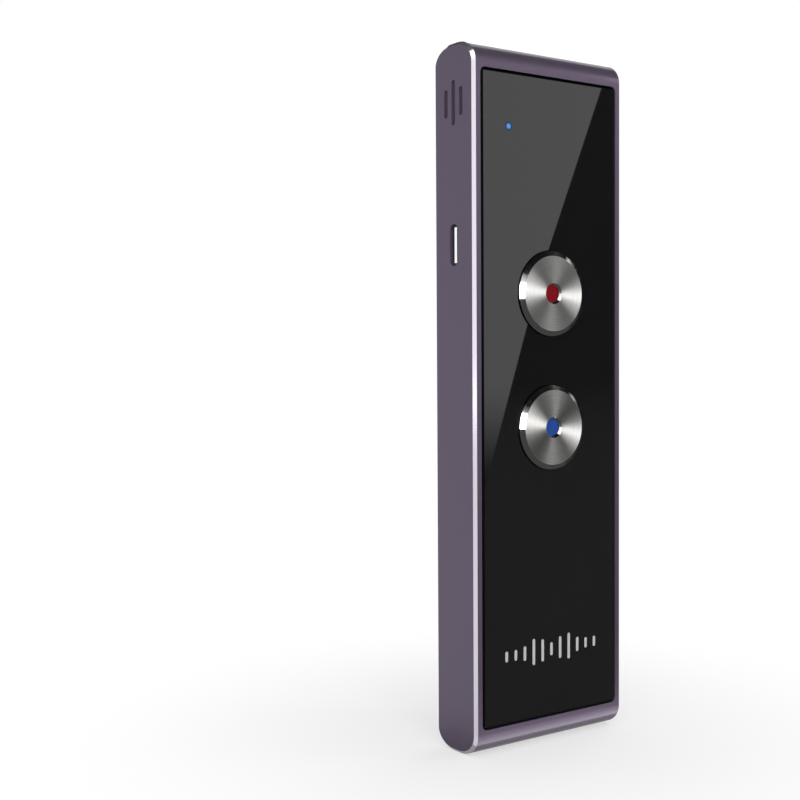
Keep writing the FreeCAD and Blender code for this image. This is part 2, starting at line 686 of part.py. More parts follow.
# Side keys: power key, volume rocker on its fulcrum, and the bracket with their switches
bracket_left = 13.9
bracket_thick = 0.8
board_x = bracket_left + bracket_thick
side_board_thick = 0.4
bracket_low = 3.4
bracket_rise = 6.0
bracket_z = -6.0
bracket_length = 44.5
bracket_foot_thick = 0.8
fulcrum_width = 1.0
fulcrum_depth = 2.0
fulcrum_play = 0.05
window_room = 0.2
bracket_wall = block("bracket_wall", bracket_left, bracket_thick, bracket_low, bracket_rise,
                     bracket_z, bracket_length)
bracket_riser = block("bracket_riser", bracket_left, bracket_thick, "back_wall",
                      "%s - back_wall" % bracket_low, bracket_z, bracket_length)
bracket_foot = block("bracket_foot", bracket_left, "opening_width / 2 - fit_gap - %s"
                     % bracket_left, "back_wall", bracket_foot_thick, bracket_z,
                     bracket_length)
fulcrum = centred("fulcrum", (bracket_left + dim.flange_inside) / 2,
                  dim.flange_inside - fulcrum_play - bracket_left,
                  dim.key_height - fulcrum_depth / 2, fulcrum_depth, "volume_z", fulcrum_width)
finish(joined("side_key_bracket", [bracket_wall, bracket_riser, bracket_foot, fulcrum]),
       "side_key_bracket")
side_board = block("side_board", board_x, side_board_thick, bracket_low, bracket_rise,
                   bracket_z, bracket_length)
fulcrum_window = centred("fulcrum_window", board_x, 4 * bracket_thick,
                         dim.key_height - fulcrum_depth / 2 - window_room,
                         fulcrum_depth + 2 * window_room, "volume_z",
                         fulcrum_width + 2 * window_room)
finish(cut("side_key_board", side_board, [fulcrum_window]), "side_key_board")
switch_face = board_x + side_board_thick
side_plunger = 0.8
side_well_clearance = 0.2
side_switch_thick = 1.2
side_switch_width = 4.0
side_switch_length = 3.5
plunger_start = switch_face + 0.5
nub_tip = dim.flange_inside - dim.nub_length
switch_rows = ("power_z", "volume_z + volume_nub", "volume_z - volume_nub")
side_switches = []
plungers = []
for row_z in switch_rows:
    switch_box = centred("side_switch_box", switch_face + side_switch_thick / 2,
                         side_switch_thick, dim.key_height - side_switch_width / 2,
                         side_switch_width, row_z, side_switch_length)
    well = side_drum("side_switch_well", side_plunger + side_well_clearance,
                     switch_face + dim.fit_gap, 2 * side_switch_thick, "key_height", row_z)
    side_switches.append(cut("side_switch", switch_box, [well]))
    plungers.append(side_drum("side_plunger", side_plunger, plunger_start,
                              nub_tip - plunger_start, "key_height", row_z))
finish(group("side_key_switches", side_switches), "side_key_switches")
finish(plungers[0], "power_plunger")
finish(group("volume_plungers", plungers[1:]), "volume_plungers")


def side_key(label, row_z, length, nub_rows):
    """A key with a rounded face outside, a flange inside the wall and nubs for its switches."""
    outside = "bar_width / 2 + key_proud"
    stem = pill(label + "_stem", "flange_inside", "%s - flange_inside" % outside,
                "key_height", "key_width", row_z, length)
    doc.recompute()
    crown = doc.addObject("Part::Fillet", label + "_crown")
    crown.Base = stem
    crown.Edges = [(index + 1, dim.key_round, dim.key_round)
                   for index, edge in enumerate(stem.Shape.Edges)
                   if edge.BoundBox.XMin > dim.bar_width / 2 + dim.key_proud - 1e-3]
    flange = pill(label + "_flange", "flange_inside", "flange_thick", "key_height",
                  "key_width + 2 * flange_lip", row_z, "%s + 2 * flange_lip" % length)
    nubs = [side_drum(label + "_nub", "nub_radius", nub_tip, "nub_length", "key_height", nub_z)
            for nub_z in nub_rows]
    finish(joined(label, [crown, flange] + nubs), label)


side_key("power_key", "power_z", "power_length", switch_rows[:1])
side_key("volume_rocker", "volume_z", "volume_length", switch_rows[1:])

# Every object and every finished shape is tested before anything is written
doc.recompute()
failed = [thing.Label for thing in doc.Objects
          if "Invalid" in thing.State or "Error" in thing.State]
failed += [thing.Label for thing in finished
           if thing.Shape.isNull() or not thing.Shape.isValid()]
if failed:
    raise RuntimeError("failed objects: " + ", ".join(failed))
os.makedirs("parts", exist_ok=True)
for thing in finished:
    thing.Shape.exportStep("parts/%s.step" % thing.Label)
    print("%-22s solids %2d volume %9.2f" % (thing.Label, len(thing.Shape.Solids),
                                             thing.Shape.Volume))
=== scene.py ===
import math
import bmesh
import bpy
from mathutils import Matrix, Vector


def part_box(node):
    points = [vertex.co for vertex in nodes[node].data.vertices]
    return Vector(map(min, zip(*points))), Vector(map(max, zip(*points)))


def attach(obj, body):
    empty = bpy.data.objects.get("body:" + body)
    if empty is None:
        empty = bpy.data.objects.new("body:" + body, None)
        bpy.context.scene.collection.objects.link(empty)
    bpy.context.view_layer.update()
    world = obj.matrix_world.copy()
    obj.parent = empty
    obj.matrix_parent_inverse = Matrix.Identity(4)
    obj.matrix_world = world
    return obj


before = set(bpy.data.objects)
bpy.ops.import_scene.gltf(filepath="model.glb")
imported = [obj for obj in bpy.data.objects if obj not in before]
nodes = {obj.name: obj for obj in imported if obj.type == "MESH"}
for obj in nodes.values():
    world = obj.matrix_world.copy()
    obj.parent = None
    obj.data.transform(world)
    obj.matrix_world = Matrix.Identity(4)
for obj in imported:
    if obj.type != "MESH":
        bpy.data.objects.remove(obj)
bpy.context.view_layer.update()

# Housing: one aluminium shell, milled inside, bead blasted and dyed in an anodising bath, with
# the edges of both sides cut bright afterwards. Its grille, slots and key holes are milled.
MM = 0.001
SIDE_X = 20.0 * MM
EDGE_BEVEL = 0.6 * MM
EDGE_REACH = 1.05 * EDGE_BEVEL
HOUSING_COLOR = (0.113, 0.085, 0.133, 1.0)
HOUSING_ROUGHNESS = 0.48
HOUSING_METALLIC = 0.6
BLAST_GRAIN = 0.22 * MM
BLAST_BUMP = 0.05
DYE_CHANGE = 0.035
BRIGHT_EDGE_COLOR = (0.66, 0.615, 0.685, 1.0)
BRIGHT_EDGE_ROUGHNESS = 0.12
BRIGHT_EDGE_METALLIC = 0.86
BRIGHT_EDGE_TURN = 0.707
BRIGHT_EDGE_PLAY = 0.08
SIDE_COAT = 0.12
END_COAT = 0.75
END_TURN = (0.1, 0.5)
BACK_COAT = 0.7
BACK_TURN = 0.5


def new_material(name, **plain):
    """A material whose shader has these constant sockets; an underscore is a space."""
    material = bpy.data.materials.new(name)
    material.use_nodes = True
    shader = material.node_tree.nodes["Principled BSDF"]
    for socket, value in plain.items():
        shader.inputs[socket.replace("_", " ")].default_value = value
    return material


def add(tree, kind, inputs=None, **settings):
    """A node with its settings, its inputs linked where a socket is given and set otherwise."""
    node = tree.nodes.new(kind)
    for name, value in settings.items():
        setattr(node, name, value)
    for socket, value in (inputs or {}).items():
        if isinstance(value, bpy.types.NodeSocket):
            tree.links.new(value, node.inputs[socket])
        else:
            node.inputs[socket].default_value = value
    return node


def math_node(tree, operation, first, second=0.0, third=0.0):
    """One step of arithmetic; returns its result."""
    step = add(tree, "ShaderNodeMath", {0: first, 1: second, 2: third}, operation=operation)
    return step.outputs[0]


def ramp(tree, value, low, high, start=0.0, end=1.0):
    """A smooth step of a value from low to high."""
    step = add(tree, "ShaderNodeMapRange", {"Value": value, "From Min": low, "From Max": high,
                                            "To Min": start, "To Max": end},
               interpolation_type="SMOOTHSTEP")
    return step.outputs["Result"]


def blend_value(tree, mask, first, second):
    """The first value where the mask is 0 and the second where it is 1."""
    return add(tree, "ShaderNodeMix", {0: mask, 2: first, 3: second}).outputs[0]


def blend_color(tree, mask, first, second):
    """The first colour where the mask is 0 and the second where it is 1."""
    mix = add(tree, "ShaderNodeMix", {0: mask, 6: first, 7: second}, data_type="RGBA")
    return mix.outputs[2]


def scaled_color(tree, color, gain):
    """A colour made lighter or darker."""
    return add(tree, "ShaderNodeVectorMath", {0: color, "Scale": gain},
               operation="SCALE").outputs[0]


def surface_place(tree):
    """X, Y and Z of a point on the surface."""
    where = add(tree, "ShaderNodeTexCoord").outputs["Object"]
    return add(tree, "ShaderNodeSeparateXYZ", {0: where}).outputs


def surface_turn(tree):
    """X, Y and Z of the direction that the surface faces."""
    facing = add(tree, "ShaderNodeTexCoord").outputs["Normal"]
    return add(tree, "ShaderNodeSeparateXYZ", {0: facing}).outputs


def new_group(name, inputs, outputs):
    """A shader node group with named inputs, given with their first values, and outputs."""
    tree = bpy.data.node_groups.new(name, "ShaderNodeTree")
    for label, (kind, value) in inputs.items():
        socket = tree.interface.new_socket(label, in_out="INPUT", socket_type=kind)
        socket.default_value = value
    for label, kind in outputs.items():
        tree.interface.new_socket(label, in_out="OUTPUT", socket_type=kind)
    return tree, tree.nodes.new("NodeGroupInput"), tree.nodes.new("NodeGroupOutput")


FLOAT = "NodeSocketFloat"
COLOR = "NodeSocketColor"

# The grain group gives a surface its fine texture: speckle in the colour, slow change in the
# gloss, and a height for the bump.
GRAIN_SIZE = 0.2 * MM
CLOUD_SIZE = 12.0 * MM
GRAIN_RELIEF = 0.02 * MM
grain_tree, grain_in, grain_out = new_group(
    "surface_grain",
    {"Color": (COLOR, (0.5, 0.5, 0.5, 1.0)), "Color Change": (FLOAT, 0.05),
     "Roughness": (FLOAT, 0.5), "Roughness Change": (FLOAT, 0.05),
     "Grain Size": (FLOAT, GRAIN_SIZE), "Cloud Size": (FLOAT, CLOUD_SIZE)},
    {"Color": COLOR, "Roughness": FLOAT, "Height": FLOAT})
place = add(grain_tree, "ShaderNodeTexCoord").outputs["Object"]
fine_scale = math_node(grain_tree, "DIVIDE", 1.0, grain_in.outputs["Grain Size"])
cloud_scale = math_node(grain_tree, "DIVIDE", 1.0, grain_in.outputs["Cloud Size"])
fine = add(grain_tree, "ShaderNodeTexNoise", {"Vector": place, "Scale": fine_scale,
                                              "Detail": 2.0, "Roughness": 0.6})
cloud = add(grain_tree, "ShaderNodeTexNoise", {"Vector": place, "Scale": cloud_scale,
                                               "Detail": 3.0, "Roughness": 0.5})
# Both noises run from 0 to 1, and are stretched to run from -1 to 1
speckle = math_node(grain_tree, "MULTIPLY_ADD", fine.outputs["Fac"], 2.0, -1.0)
drift = math_node(grain_tree, "MULTIPLY_ADD", cloud.outputs["Fac"], 2.0, -1.0)
both = math_node(grain_tree, "ADD", speckle, drift)
gain = math_node(grain_tree, "MULTIPLY_ADD", both, grain_in.outputs["Color Change"], 1.0)
grain_tree.links.new(scaled_color(grain_tree, grain_in.outputs["Color"], gain),
                     grain_out.inputs["Color"])
rough = math_node(grain_tree, "MULTIPLY_ADD", drift, grain_in.outputs["Roughness Change"],
                  grain_in.outputs["Roughness"])
grain_tree.links.new(rough, grain_out.inputs["Roughness"])
grain_tree.links.new(fine.outputs["Fac"], grain_out.inputs["Height"])


def grained(name, color, roughness, bump, grain=GRAIN_SIZE, cloud_size=CLOUD_SIZE, change=0.05,
            gloss_change=0.05, **plain):
    """A material that takes colour, gloss and bump from its own "grain" node."""
    material = new_material(name, **plain)
    tree = material.node_tree
    shader = tree.nodes["Principled BSDF"]
    texture = add(tree, "ShaderNodeGroup", node_tree=grain_tree, name="grain")
    values = {"Color": color, "Color Change": change, "Roughness": roughness,
              "Roughness Change": gloss_change, "Grain Size": grain, "Cloud Size": cloud_size}
    for label, value in values.items():
        texture.inputs[label].default_value = value
    relief = add(tree, "ShaderNodeBump", {"Height": texture.outputs["Height"],
                                          "Strength": bump, "Distance": GRAIN_RELIEF})
    tree.links.new(texture.outputs["Color"], shader.inputs["Base Color"])
    tree.links.new(texture.outputs["Roughness"], shader.inputs["Roughness"])
    tree.links.new(relief.outputs["Normal"], shader.inputs["Normal"])
    return material


def two_finishes(material, mask, color, roughness):
    """Another colour and gloss than the grain's where the mask is 1."""
    tree = material.node_tree
    shader = tree.nodes["Principled BSDF"]
    grain = tree.nodes["grain"].outputs
    tree.links.new(blend_color(tree, mask, grain["Color"], color), shader.inputs["Base Color"])
    tree.links.new(blend_value(tree, mask, grain["Roughness"], roughness),
                   shader.inputs["Roughness"])


def dress(material, *names):
    """Give CAD nodes a material."""
    for name in names:
        slots = nodes[name].data.materials
        slots.clear()
        slots.append(material)


anodised = grained("anodised_aluminium", HOUSING_COLOR, HOUSING_ROUGHNESS, BLAST_BUMP,
                   grain=BLAST_GRAIN, change=DYE_CHANGE, gloss_change=0.03, Coat_Roughness=0.06)
tree = anodised.node_tree
shader = tree.nodes["Principled BSDF"]
turn = surface_turn(tree)
sideways = math_node(tree, "ABSOLUTE", turn["X"])
slanted = math_node(tree, "COMPARE", sideways, BRIGHT_EDGE_TURN, BRIGHT_EDGE_PLAY)
outward = math_node(tree, "ABSOLUTE", surface_place(tree)["X"])
near_side = math_node(tree, "GREATER_THAN", outward, SIDE_X - EDGE_REACH)
bright = math_node(tree, "MULTIPLY", slanted, near_side)
two_finishes(anodised, bright, BRIGHT_EDGE_COLOR, BRIGHT_EDGE_ROUGHNESS)
metal_share = math_node(tree, "MULTIPLY_ADD", bright, BRIGHT_EDGE_METALLIC - HOUSING_METALLIC,
                        HOUSING_METALLIC)
tree.links.new(metal_share, shader.inputs["Metallic"])
# The sealed layer shows most on the back and round the two ends, which are buffed afterwards
endward = math_node(tree, "ABSOLUTE", turn["Z"])
backward = math_node(tree, "GREATER_THAN", turn["Y"], BACK_TURN)
sealed = math_node(tree, "MAXIMUM", ramp(tree, endward, *END_TURN, SIDE_COAT, END_COAT),
                   math_node(tree, "MULTIPLY", backward, BACK_COAT))
dyed = math_node(tree, "SUBTRACT", 1.0, bright)
tree.links.new(math_node(tree, "MULTIPLY", sealed, dyed), shader.inputs["Coat Weight"])
dress(anodised, "housing")

# Slot cloth: a strip of woven acoustic cloth glued behind each row of sound slots, pressed a
# little way into them so that no dust reaches the microphones. Its dark purple is painted shade
# for the slots.
SLOT_WIDTH = 1.15 * MM
SLOT_LONG = 8.9 * MM
SLOT_SHORT = 5.6 * MM
SLOT_STEP = 2.4 * MM
SLOT_Z = 59.2 * MM
SIDE_Y = -6.4 * MM
CLOTH_DEPTH = 0.3 * MM
CLOTH_THICK = 0.12 * MM
FIT = 0.01 * MM
CLOTH_THREAD = 0.2 * MM
THREAD_RELIEF = 0.03 * MM
# Painted shade in the gaps between threads, and painted highlight on their crowns
THREAD_GAP_SHADE = 0.5
THREAD_CROWN_HIGHLIGHT = 0.8

weave_tree, weave_in, weave_out = new_group(
    "woven_threads",
    {"Color": (COLOR, (0.05, 0.05, 0.05, 1.0)), "Thread Step": (FLOAT, CLOTH_THREAD)},
    {"Color": COLOR, "Height": FLOAT})
place = surface_place(weave_tree)
per_thread = math_node(weave_tree, "DIVIDE", math.tau, weave_in.outputs["Thread Step"])
across = math_node(weave_tree, "ADD", place["X"], place["Y"])
warp = math_node(weave_tree, "SINE", math_node(weave_tree, "MULTIPLY", across, per_thread))
weft = math_node(weave_tree, "SINE", math_node(weave_tree, "MULTIPLY", place["Z"], per_thread))
crown = math_node(weave_tree, "MULTIPLY_ADD",
                  math_node(weave_tree, "MAXIMUM", warp, weft), 0.5, 0.5)
# The weave's pattern, with painted highlight on the thread crowns and painted shade in the gaps
gain = math_node(weave_tree, "MULTIPLY_ADD", crown, THREAD_CROWN_HIGHLIGHT, THREAD_GAP_SHADE)
weave_tree.links.new(scaled_color(weave_tree, weave_in.outputs["Color"], gain),
                     weave_out.inputs["Color"])
weave_tree.links.new(crown, weave_out.inputs["Height"])


def woven(name, color, thread, roughness, bump, **plain):
    """A cloth or wire mesh material from the weave group."""
    material = new_material(name, Roughness=roughness, **plain)
    tree = material.node_tree
    shader = tree.nodes["Principled BSDF"]
    texture = add(tree, "ShaderNodeGroup", node_tree=weave_tree)
    texture.inputs["Color"].default_value = color
    texture.inputs["Thread Step"].default_value = thread
    relief = add(tree, "ShaderNodeBump", {"Height": texture.outputs["Height"],
                                          "Strength": bump, "Distance": THREAD_RELIEF})
    tree.links.new(texture.outputs["Color"], shader.inputs["Base Color"])
    tree.links.new(relief.outputs["Normal"], shader.inputs["Normal"])
    return material


def new_object(name, shape):
    """An object in the scene from a bmesh, which is freed."""
    mesh = bpy.data.meshes.new(name)
    shape.to_mesh(mesh)
    shape.free()
    thing = bpy.data.objects.new(name, mesh)
    bpy.context.scene.collection.objects.link(thing)
    return thing


def new_piece(name, shape, material):
    """A finished piece of the fixed body from a bmesh."""
    bmesh.ops.recalc_face_normals(shape, faces=shape.faces)
    piece = new_object(name, shape)
    piece.data.materials.append(material)
    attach(piece, "root")


PILL_SIDES = 32


def pill(shape, width, length, thick, move):
    """A round-ended bar, wide along X, long along Y and thick along Z, moved by a matrix."""
    half_step = math.pi / PILL_SIDES
    ring = bmesh.ops.create_circle(shape, segments=PILL_SIDES, radius=width / 2, cap_ends=True,
                                   matrix=Matrix.Rotation(half_step, 4, "Z"))["verts"]
    for vert in ring:
        vert.co.y += math.copysign((length - width) / 2, vert.co.y)
    face = ring[0].link_faces[0]
    raised = bmesh.ops.extrude_face_region(shape, geom=[face])["geom"]
    top = [item for item in raised if isinstance(item, bmesh.types.BMVert)]
    bmesh.ops.translate(shape, verts=top, vec=(0, 0, thick))
    bmesh.ops.transform(shape, verts=ring + top, matrix=move)


# The cloth's dark purple colour is painted shade, the shade down inside the slots
slot_shade_cloth = woven("slot_shade_cloth", (0.042, 0.028, 0.048, 1.0), CLOTH_THREAD, roughness=0.85,
                   bump=0.5)
for side, side_name in ((-1, "left"), (1, "right")):
    strips = bmesh.new()
    # Each bar is stood up with its length along Z and its thickness inward
    stand = Matrix(((0, 0, -side), (1, 0, 0), (0, 1, 0))).to_4x4()
    for step in (-1, 0, 1):
        length = SLOT_SHORT if step else SLOT_LONG
        middle = Vector((side * (SIDE_X - CLOTH_DEPTH), SIDE_Y + step * SLOT_STEP, SLOT_Z))
        pill(strips, SLOT_WIDTH - FIT, length - FIT, CLOTH_THICK,
             Matrix.Translation(middle) @ stand)
    new_piece("slot_shade_cloth_" + side_name, strips, slot_shade_cloth)

# Loudspeaker: a woven steel dust mesh and a foam ring on the back wall, and over them the
# moulded frame with its film cone, magnet cup and two sprung brass contacts.
dress(woven("dust_mesh", (0.018, 0.018, 0.02, 1.0), 0.3 * MM, roughness=0.5, bump=0.6,
            Metallic=0.7), "grille_mesh")
dress(grained("speaker_foam", (0.02, 0.02, 0.021, 1.0), roughness=0.95, bump=0.6,
              grain=0.4 * MM), "speaker_gasket")
dress(grained("speaker_frame_plastic", (0.028, 0.028, 0.03, 1.0), roughness=0.55, bump=0.15),
      "speaker_frame")
dress(grained("cone_film", (0.05, 0.047, 0.042, 1.0), roughness=0.3, bump=0.1,
              cloud_size=4 * MM), "speaker_cone")
dress(grained("magnet_cup", (0.45, 0.45, 0.46, 1.0), roughness=0.32, bump=0.1, Metallic=1.0),
      "speaker_magnet")
dress(grained("speaker_contact_brass", (0.75, 0.58, 0.28, 1.0), roughness=0.25, bump=0.05,
              Metallic=1.0), "speaker_contacts")

# Microphones: two metal capsules, each seated in a soft rubber boot that seals it against the
# slots of one side.
dress(grained("boot_rubber", (0.022, 0.022, 0.023, 1.0), roughness=0.8, bump=0.3,
              grain=0.3 * MM), "microphone_boots")
dress(grained("capsule_can", (0.6, 0.6, 0.6, 1.0), roughness=0.3, bump=0.05, Metallic=1.0),
      "microphones")

# Battery: a pouch cell in foil, held by stretch-release tape, with a plug and two leads in
# silicone sleeve to the main board.
dress(grained("battery_foil", (0.55, 0.56, 0.58, 1.0), roughness=0.38, bump=0.35,
              grain=0.9 * MM, cloud_size=20 * MM, Metallic=0.9), "battery_cell")
dress(grained("battery_tape", (0.75, 0.74, 0.7, 1.0), roughness=0.6, bump=0.2), "battery_tape")
dress(grained("plug_nylon", (0.78, 0.76, 0.7, 1.0), roughness=0.5, bump=0.1), "battery_plug")
dress(grained("lead_sleeve", (0.45, 0.02, 0.018, 1.0), roughness=0.45, bump=0.1),
      "battery_leads")

# Main board: green glass-fibre laminate with black moulded chips, a silver crystal, small
# ceramic parts, and a tinned shield can soldered over the chips.
dress(grained("board_laminate", (0.012, 0.075, 0.035, 1.0), roughness=0.35, bump=0.25,
              grain=0.6 * MM, cloud_size=6 * MM, change=0.15), "main_board", "side_key_board")
dress(grained("chip_plastic", (0.016, 0.016, 0.018, 1.0), roughness=0.5, bump=0.2),
      "processor", "memory_chip")
dress(grained("module_can", (0.62, 0.61, 0.58, 1.0), roughness=0.3, bump=0.1, Metallic=1.0),
      "radio_module", "clock_crystal")
dress(grained("tinned_can", (0.58, 0.57, 0.55, 1.0), roughness=0.34, bump=0.15,
              cloud_size=5 * MM, Metallic=1.0), "shield_can")
dress(grained("ceramic_parts", (0.42, 0.33, 0.22, 1.0), roughness=0.5, bump=0.1, change=0.2),
      "board_parts")

# Charging port: a drawn steel shell in a dark purple that is painted shade for the inside of the
# slot, and inside it a tongue of bright steel that carries a row of gilt contact strips on each
# face, a little way in from the housing's slot.
CONTACT_COUNT = 12
CONTACT_PITCH = 0.5 * MM
CONTACT_WIDTH = 0.26 * MM
CONTACT_LENGTH = 4.2 * MM
CONTACT_SETBACK = 0.35 * MM
CONTACT_PROUD = 0.03 * MM
CONTACT_BEVEL = 0.008 * MM
# The shell's dark purple colour is painted shade, the shade inside the housing's slot
dress(grained("port_shell_shade", (0.085, 0.06, 0.095, 1.0), roughness=0.45, bump=0.05,
              Metallic=0.5), "port_shell")
dress(grained("port_tongue_steel", (0.97, 0.97, 0.97, 1.0), roughness=0.22, bump=0.02,
              change=0.01, gloss_change=0.02, Metallic=1.0), "port_tongue")
tongue_low, tongue_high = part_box("port_tongue")
tongue_z = (tongue_low.z + tongue_high.z) / 2
strips = bmesh.new()
for face_y, way in ((tongue_low.y, -1), (tongue_high.y, 1)):
    for index in range(CONTACT_COUNT):
        middle = Vector((tongue_low.x + CONTACT_SETBACK + CONTACT_LENGTH / 2,
                         face_y + way * CONTACT_PROUD / 2,
                         tongue_z + (index - (CONTACT_COUNT - 1) / 2) * CONTACT_PITCH))
        size = Matrix.Diagonal((CONTACT_LENGTH, CONTACT_PROUD, CONTACT_WIDTH, 1))
        bmesh.ops.create_cube(strips, size=1.0, matrix=Matrix.Translation(middle) @ size)
bmesh.ops.bevel(strips, geom=strips.edges[:], offset=CONTACT_BEVEL, segments=1, profile=0.5,
                affect="EDGES", material=-1)
gilt = grained("contact_gilt", (0.85, 0.62, 0.25, 1.0), roughness=0.22, bump=0.03, Metallic=1.0)
new_piece("port_contacts", strips, gilt)

# Status light: a small blue light on the board, under a clear rod that is moulded with a collar
# and carries the light up to the face of the panel, brightest in its middle.
LIGHT_COLOR = (0.07, 0.28, 0.74, 1.0)
LIGHT_EDGE_COLOR = (0.001, 0.008, 0.045, 1.0)
LIGHT_CORE_RADIUS = 0.38 * MM
LIGHT_EDGE_RADIUS = 0.8 * MM
LIGHT_SPECK = 0.25 * MM
LIGHT_BLUR = 0.15 * MM
IN_FACE = (1.0, 0.0, 1.0)


def flat_offset(tree, middle, kept_axes):
    """How far a point of the surface lies from a middle, on the kept axes only."""
    where = add(tree, "ShaderNodeTexCoord").outputs["Object"]
    offset = add(tree, "ShaderNodeVectorMath", {0: where, 1: middle}, operation="SUBTRACT")
    return add(tree, "ShaderNodeVectorMath", {0: offset.outputs[0], 1: kept_axes},
               operation="MULTIPLY").outputs[0]


def length_of(tree, vector):
    """The length of a vector."""
    return add(tree, "ShaderNodeVectorMath", {0: vector}, operation="LENGTH").outputs["Value"]


dress(grained("light_chip", (0.8, 0.8, 0.75, 1.0), roughness=0.4, bump=0.05),
      "status_light", "button_lights")
guide = new_material("blue_light", Base_Color=(0.002, 0.01, 0.04, 1.0), Roughness=0.12,
                     Emission_Strength=1.0)
tree = guide.node_tree
guide_low, guide_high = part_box("light_guide")
radius = length_of(tree, flat_offset(tree, (guide_low + guide_high) / 2, IN_FACE))
where = add(tree, "ShaderNodeTexCoord").outputs["Object"]
speck = add(tree, "ShaderNodeTexNoise", {"Vector": where, "Scale": 1.0 / LIGHT_SPECK})
uneven = math_node(tree, "MULTIPLY_ADD", speck.outputs["Fac"], LIGHT_BLUR, radius)
fade = ramp(tree, uneven, LIGHT_CORE_RADIUS, LIGHT_EDGE_RADIUS)
tree.links.new(blend_color(tree, fade, LIGHT_COLOR, LIGHT_EDGE_COLOR),
               tree.nodes["Principled BSDF"].inputs["Emission Color"])
dress(guide, "light_guide")

# Mid frame: a plate of glass-filled plastic that clamps board and battery, held by six steel
# screws; the printed antenna and the frame of adhesive tape lie on it under the panel.
dress(grained("moulded_frame", (0.03, 0.03, 0.032, 1.0), roughness=0.6, bump=0.25,
              grain=0.5 * MM), "mid_frame")
dress(grained("screw_steel", (0.42, 0.42, 0.43, 1.0), roughness=0.28, bump=0.05, Metallic=1.0),
      "frame_screws")
dress(grained("copper_flex", (0.5, 0.26, 0.1, 1.0), roughness=0.35, bump=0.1, grain=0.6 * MM,
              Metallic=0.8), "antenna")
dress(grained("adhesive_tape", (0.012, 0.012, 0.012, 1.0), roughness=0.75, bump=0.3),
      "panel_adhesive")

# Front buttons: each is a turned steel cap on a moulded holder with a post that presses a
# board switch, and a tinted clear rod in the middle, lit from below. Fine rings run round the
# face and throw the light in fans; the bevel and the bore's mouth are polished.
CAP_FACE_RADIUS = 7.65 * MM
CAP_MOUTH_RADIUS = 2.17 * MM
RING_STEP = 0.16 * MM
RING_CONTRAST = 0.5
STEEL_COLOR = (0.6, 0.595, 0.58, 1.0)
STEEL_ROUGHNESS = 0.6
STEEL_STRETCH = 0.98
POLISHED_COLOR = (0.66, 0.66, 0.65, 1.0)
POLISHED_ROUGHNESS = 0.1
VECTOR = "NodeSocketVector"
dress(grained("holder_plastic", (0.02, 0.02, 0.021, 1.0), roughness=0.55, bump=0.15),
      "button_holder_upper", "button_holder_lower")
dress(grained("plunger_rubber", (0.05, 0.05, 0.05, 1.0), roughness=0.7, bump=0.2),
      "button_plunger_upper", "button_plunger_lower")
dress(grained("switch_body", (0.055, 0.055, 0.058, 1.0), roughness=0.4, bump=0.1),
      "button_switches", "side_key_switches")

ring_tree, ring_in, ring_out = new_group(
    "lathe_rings",
    {"Middle": (VECTOR, (0.0, 0.0, 0.0)), "Ring Step": (FLOAT, RING_STEP),
     "Face Radius": (FLOAT, CAP_FACE_RADIUS), "Mouth Radius": (FLOAT, CAP_MOUTH_RADIUS)},
    {"Rings": FLOAT, "Polished": FLOAT})
radius = length_of(ring_tree, flat_offset(ring_tree, ring_in.outputs["Middle"], IN_FACE))
turns = math_node(ring_tree, "DIVIDE", radius, ring_in.outputs["Ring Step"])
rings = add(ring_tree, "ShaderNodeTexNoise", {"W": turns, "Scale": 1.0, "Detail": 1.0},
            noise_dimensions="1D")
ring_tree.links.new(rings.outputs["Fac"], ring_out.inputs["Rings"])
outside = math_node(ring_tree, "GREATER_THAN", radius, ring_in.outputs["Face Radius"])
inside = math_node(ring_tree, "LESS_THAN", radius, ring_in.outputs["Mouth Radius"])
ring_tree.links.new(math_node(ring_tree, "MAXIMUM", outside, inside),
                    ring_out.inputs["Polished"])


def turned_steel(name, cap):
    """Steel turned round a cap's own centre: rings in the colour, and a radial sheen."""
    material = grained(name, STEEL_COLOR, STEEL_ROUGHNESS, bump=0.03, grain=0.15 * MM,
                       Metallic=1.0, Anisotropic=STEEL_STRETCH)
    tree = material.node_tree
    shader = tree.nodes["Principled BSDF"]
    grain = tree.nodes["grain"].outputs
    low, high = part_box(cap)
    middle = (low + high) / 2
    lathe = add(tree, "ShaderNodeGroup", node_tree=ring_tree)
    lathe.inputs["Middle"].default_value = middle
    lathe.inputs["Ring Step"].default_value = RING_STEP
    lathe.inputs["Face Radius"].default_value = CAP_FACE_RADIUS + FIT
    lathe.inputs["Mouth Radius"].default_value = CAP_MOUTH_RADIUS - FIT
    polished = lathe.outputs["Polished"]
    gain = math_node(tree, "MULTIPLY_ADD", lathe.outputs["Rings"], RING_CONTRAST,
                     1.0 - RING_CONTRAST / 2)
    ringed = scaled_color(tree, grain["Color"], gain)
    tree.links.new(blend_color(tree, polished, ringed, POLISHED_COLOR),
                   shader.inputs["Base Color"])
    tree.links.new(blend_value(tree, polished, grain["Roughness"], POLISHED_ROUGHNESS),
                   shader.inputs["Roughness"])
    # The sheen is drawn out across the grooves, outward from the cap's centre
    outward = add(tree, "ShaderNodeVectorMath", {0: flat_offset(tree, middle, IN_FACE)},
                  operation="NORMALIZE")
    tree.links.new(outward.outputs[0], shader.inputs["Tangent"])
    dress(material, cap)


turned_steel("turned_steel_upper", "button_cap_upper")
turned_steel("turned_steel_lower", "button_cap_lower")


def lit_window(name, window, color):
    """Tinted clear plastic, lit a little from below."""
    material = grained(name, color, roughness=0.4, bump=0.05, grain=0.4 * MM, change=0.06,
                       Specular_IOR_Level=0.08, Emission_Strength=0.15)
    tree = material.node_tree
    tree.links.new(tree.nodes["grain"].outputs["Color"],
                   tree.nodes["Principled BSDF"].inputs["Emission Color"])
    dress(material, window)


lit_window("red_window", "button_window_upper", (0.135, 0.0006, 0.005, 1.0))
lit_window("blue_window", "button_window_lower", (0.014, 0.046, 0.205, 1.0))

